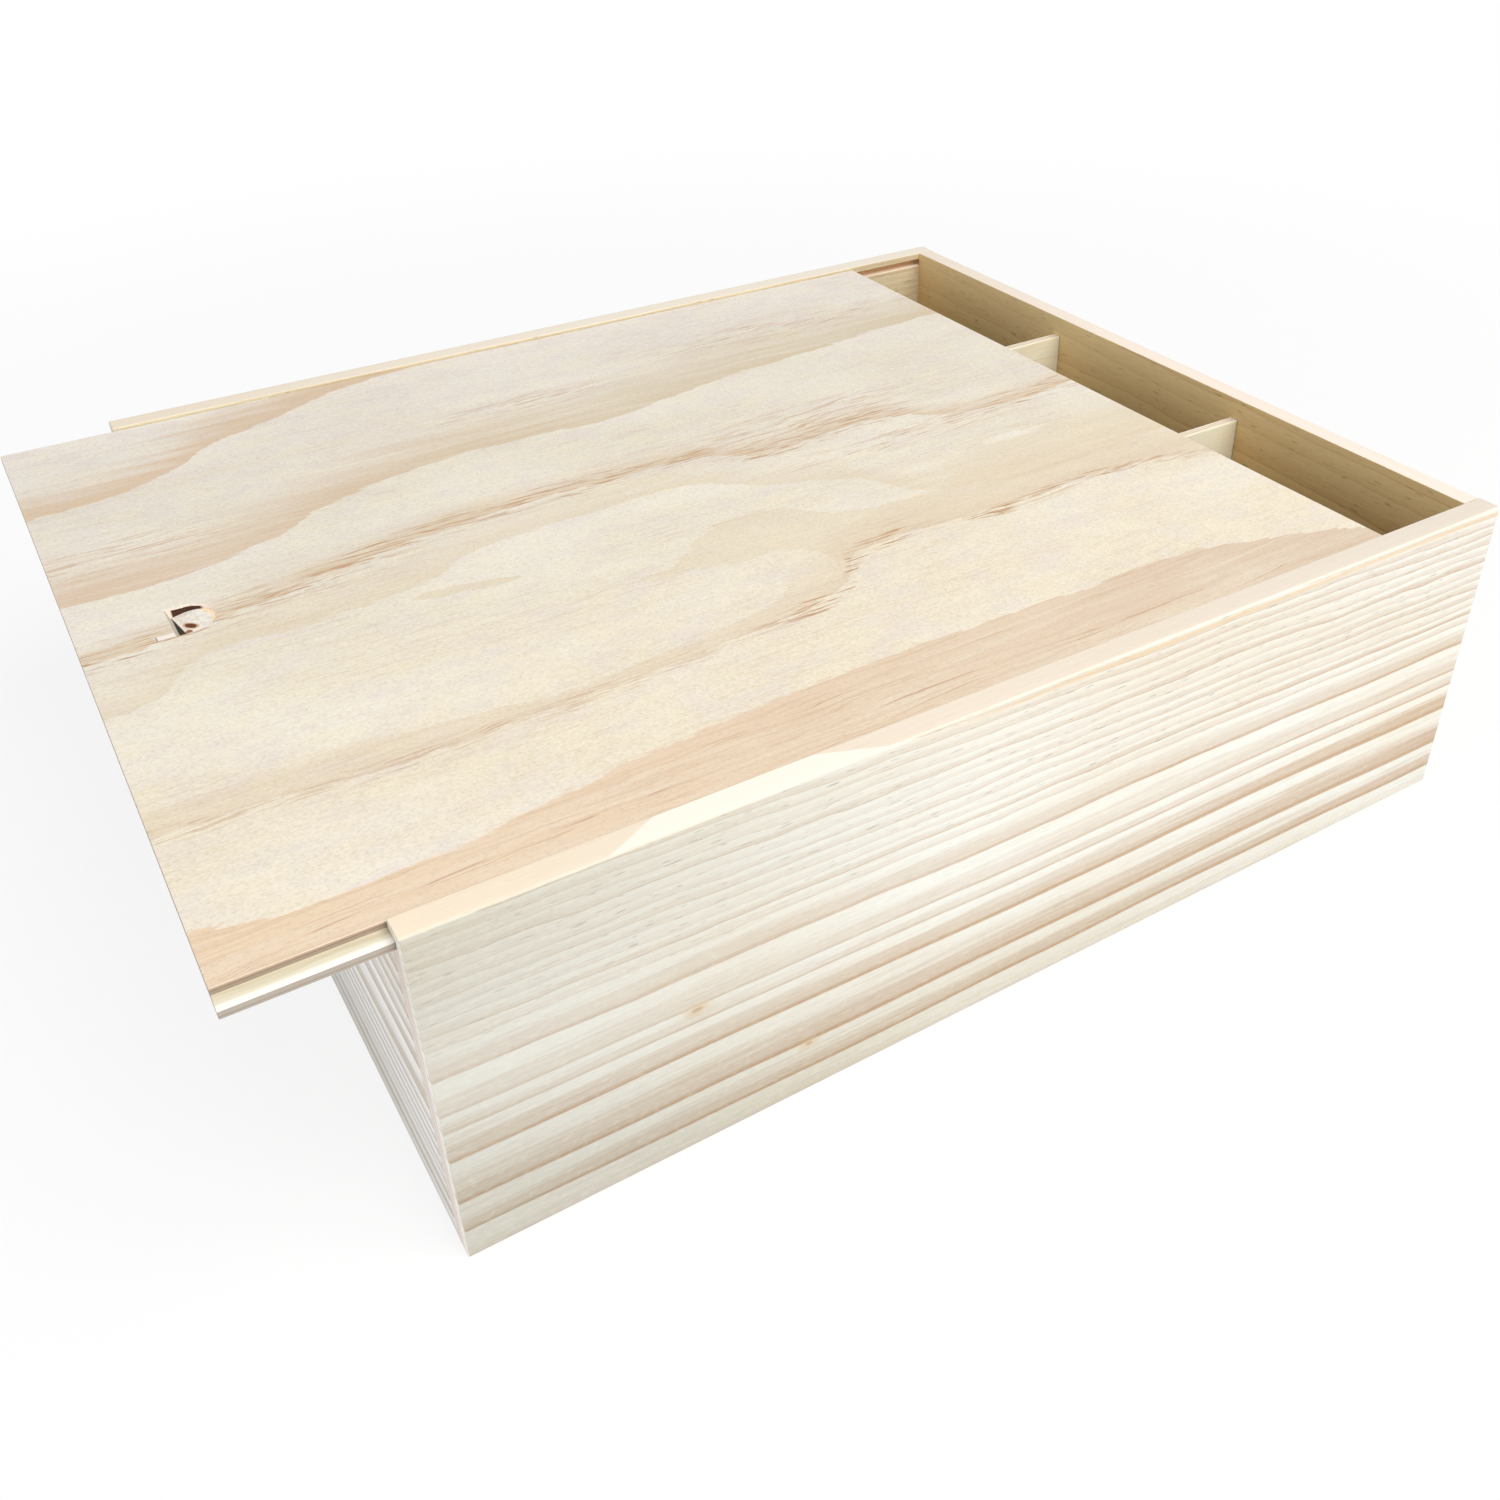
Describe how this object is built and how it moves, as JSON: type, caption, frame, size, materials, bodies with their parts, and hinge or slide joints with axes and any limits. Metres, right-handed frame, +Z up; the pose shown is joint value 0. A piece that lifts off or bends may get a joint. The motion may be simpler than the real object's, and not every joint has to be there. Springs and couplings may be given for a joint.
{
  "type": "sliding lid wooden box",
  "caption": "Shallow pine box with a grooved plywood lid that slides out at the front, a thumb notch in the lid and plywood dividers that make long compartments.",
  "frame": {"origin": "middle of the box's underside, where it stands; the drawn-out lid is not counted in the middle", "axes": "+X to the right across the box, +Y from the front towards the rear along the lid's slide, +Z up"},
  "size_m": [0.3, 0.3805, 0.105],
  "materials": {
    "side_pine": "bare sanded pine",
    "wall_pine": "bare sanded pine",
    "inner_ply": "bare sanded plywood",
    "lid_ply": "bare sanded plywood, pine faced"
  },
  "bodies": {
    "box": {"left_side": "side_pine", "right_side": "side_pine", "front_wall": "wall_pine", "rear_wall": "wall_pine", "bottom_panel": "inner_ply", "divider_left": "inner_ply", "divider_right": "inner_ply"},
    "lid": {"lid": "lid_ply"}
  },
  "joints": [
    {"name": "lid_slide", "type": "slide", "parent": "box", "child": "lid", "axis": [0, -1, 0], "range_m": [-0.0355, 0.3]}
  ]
}
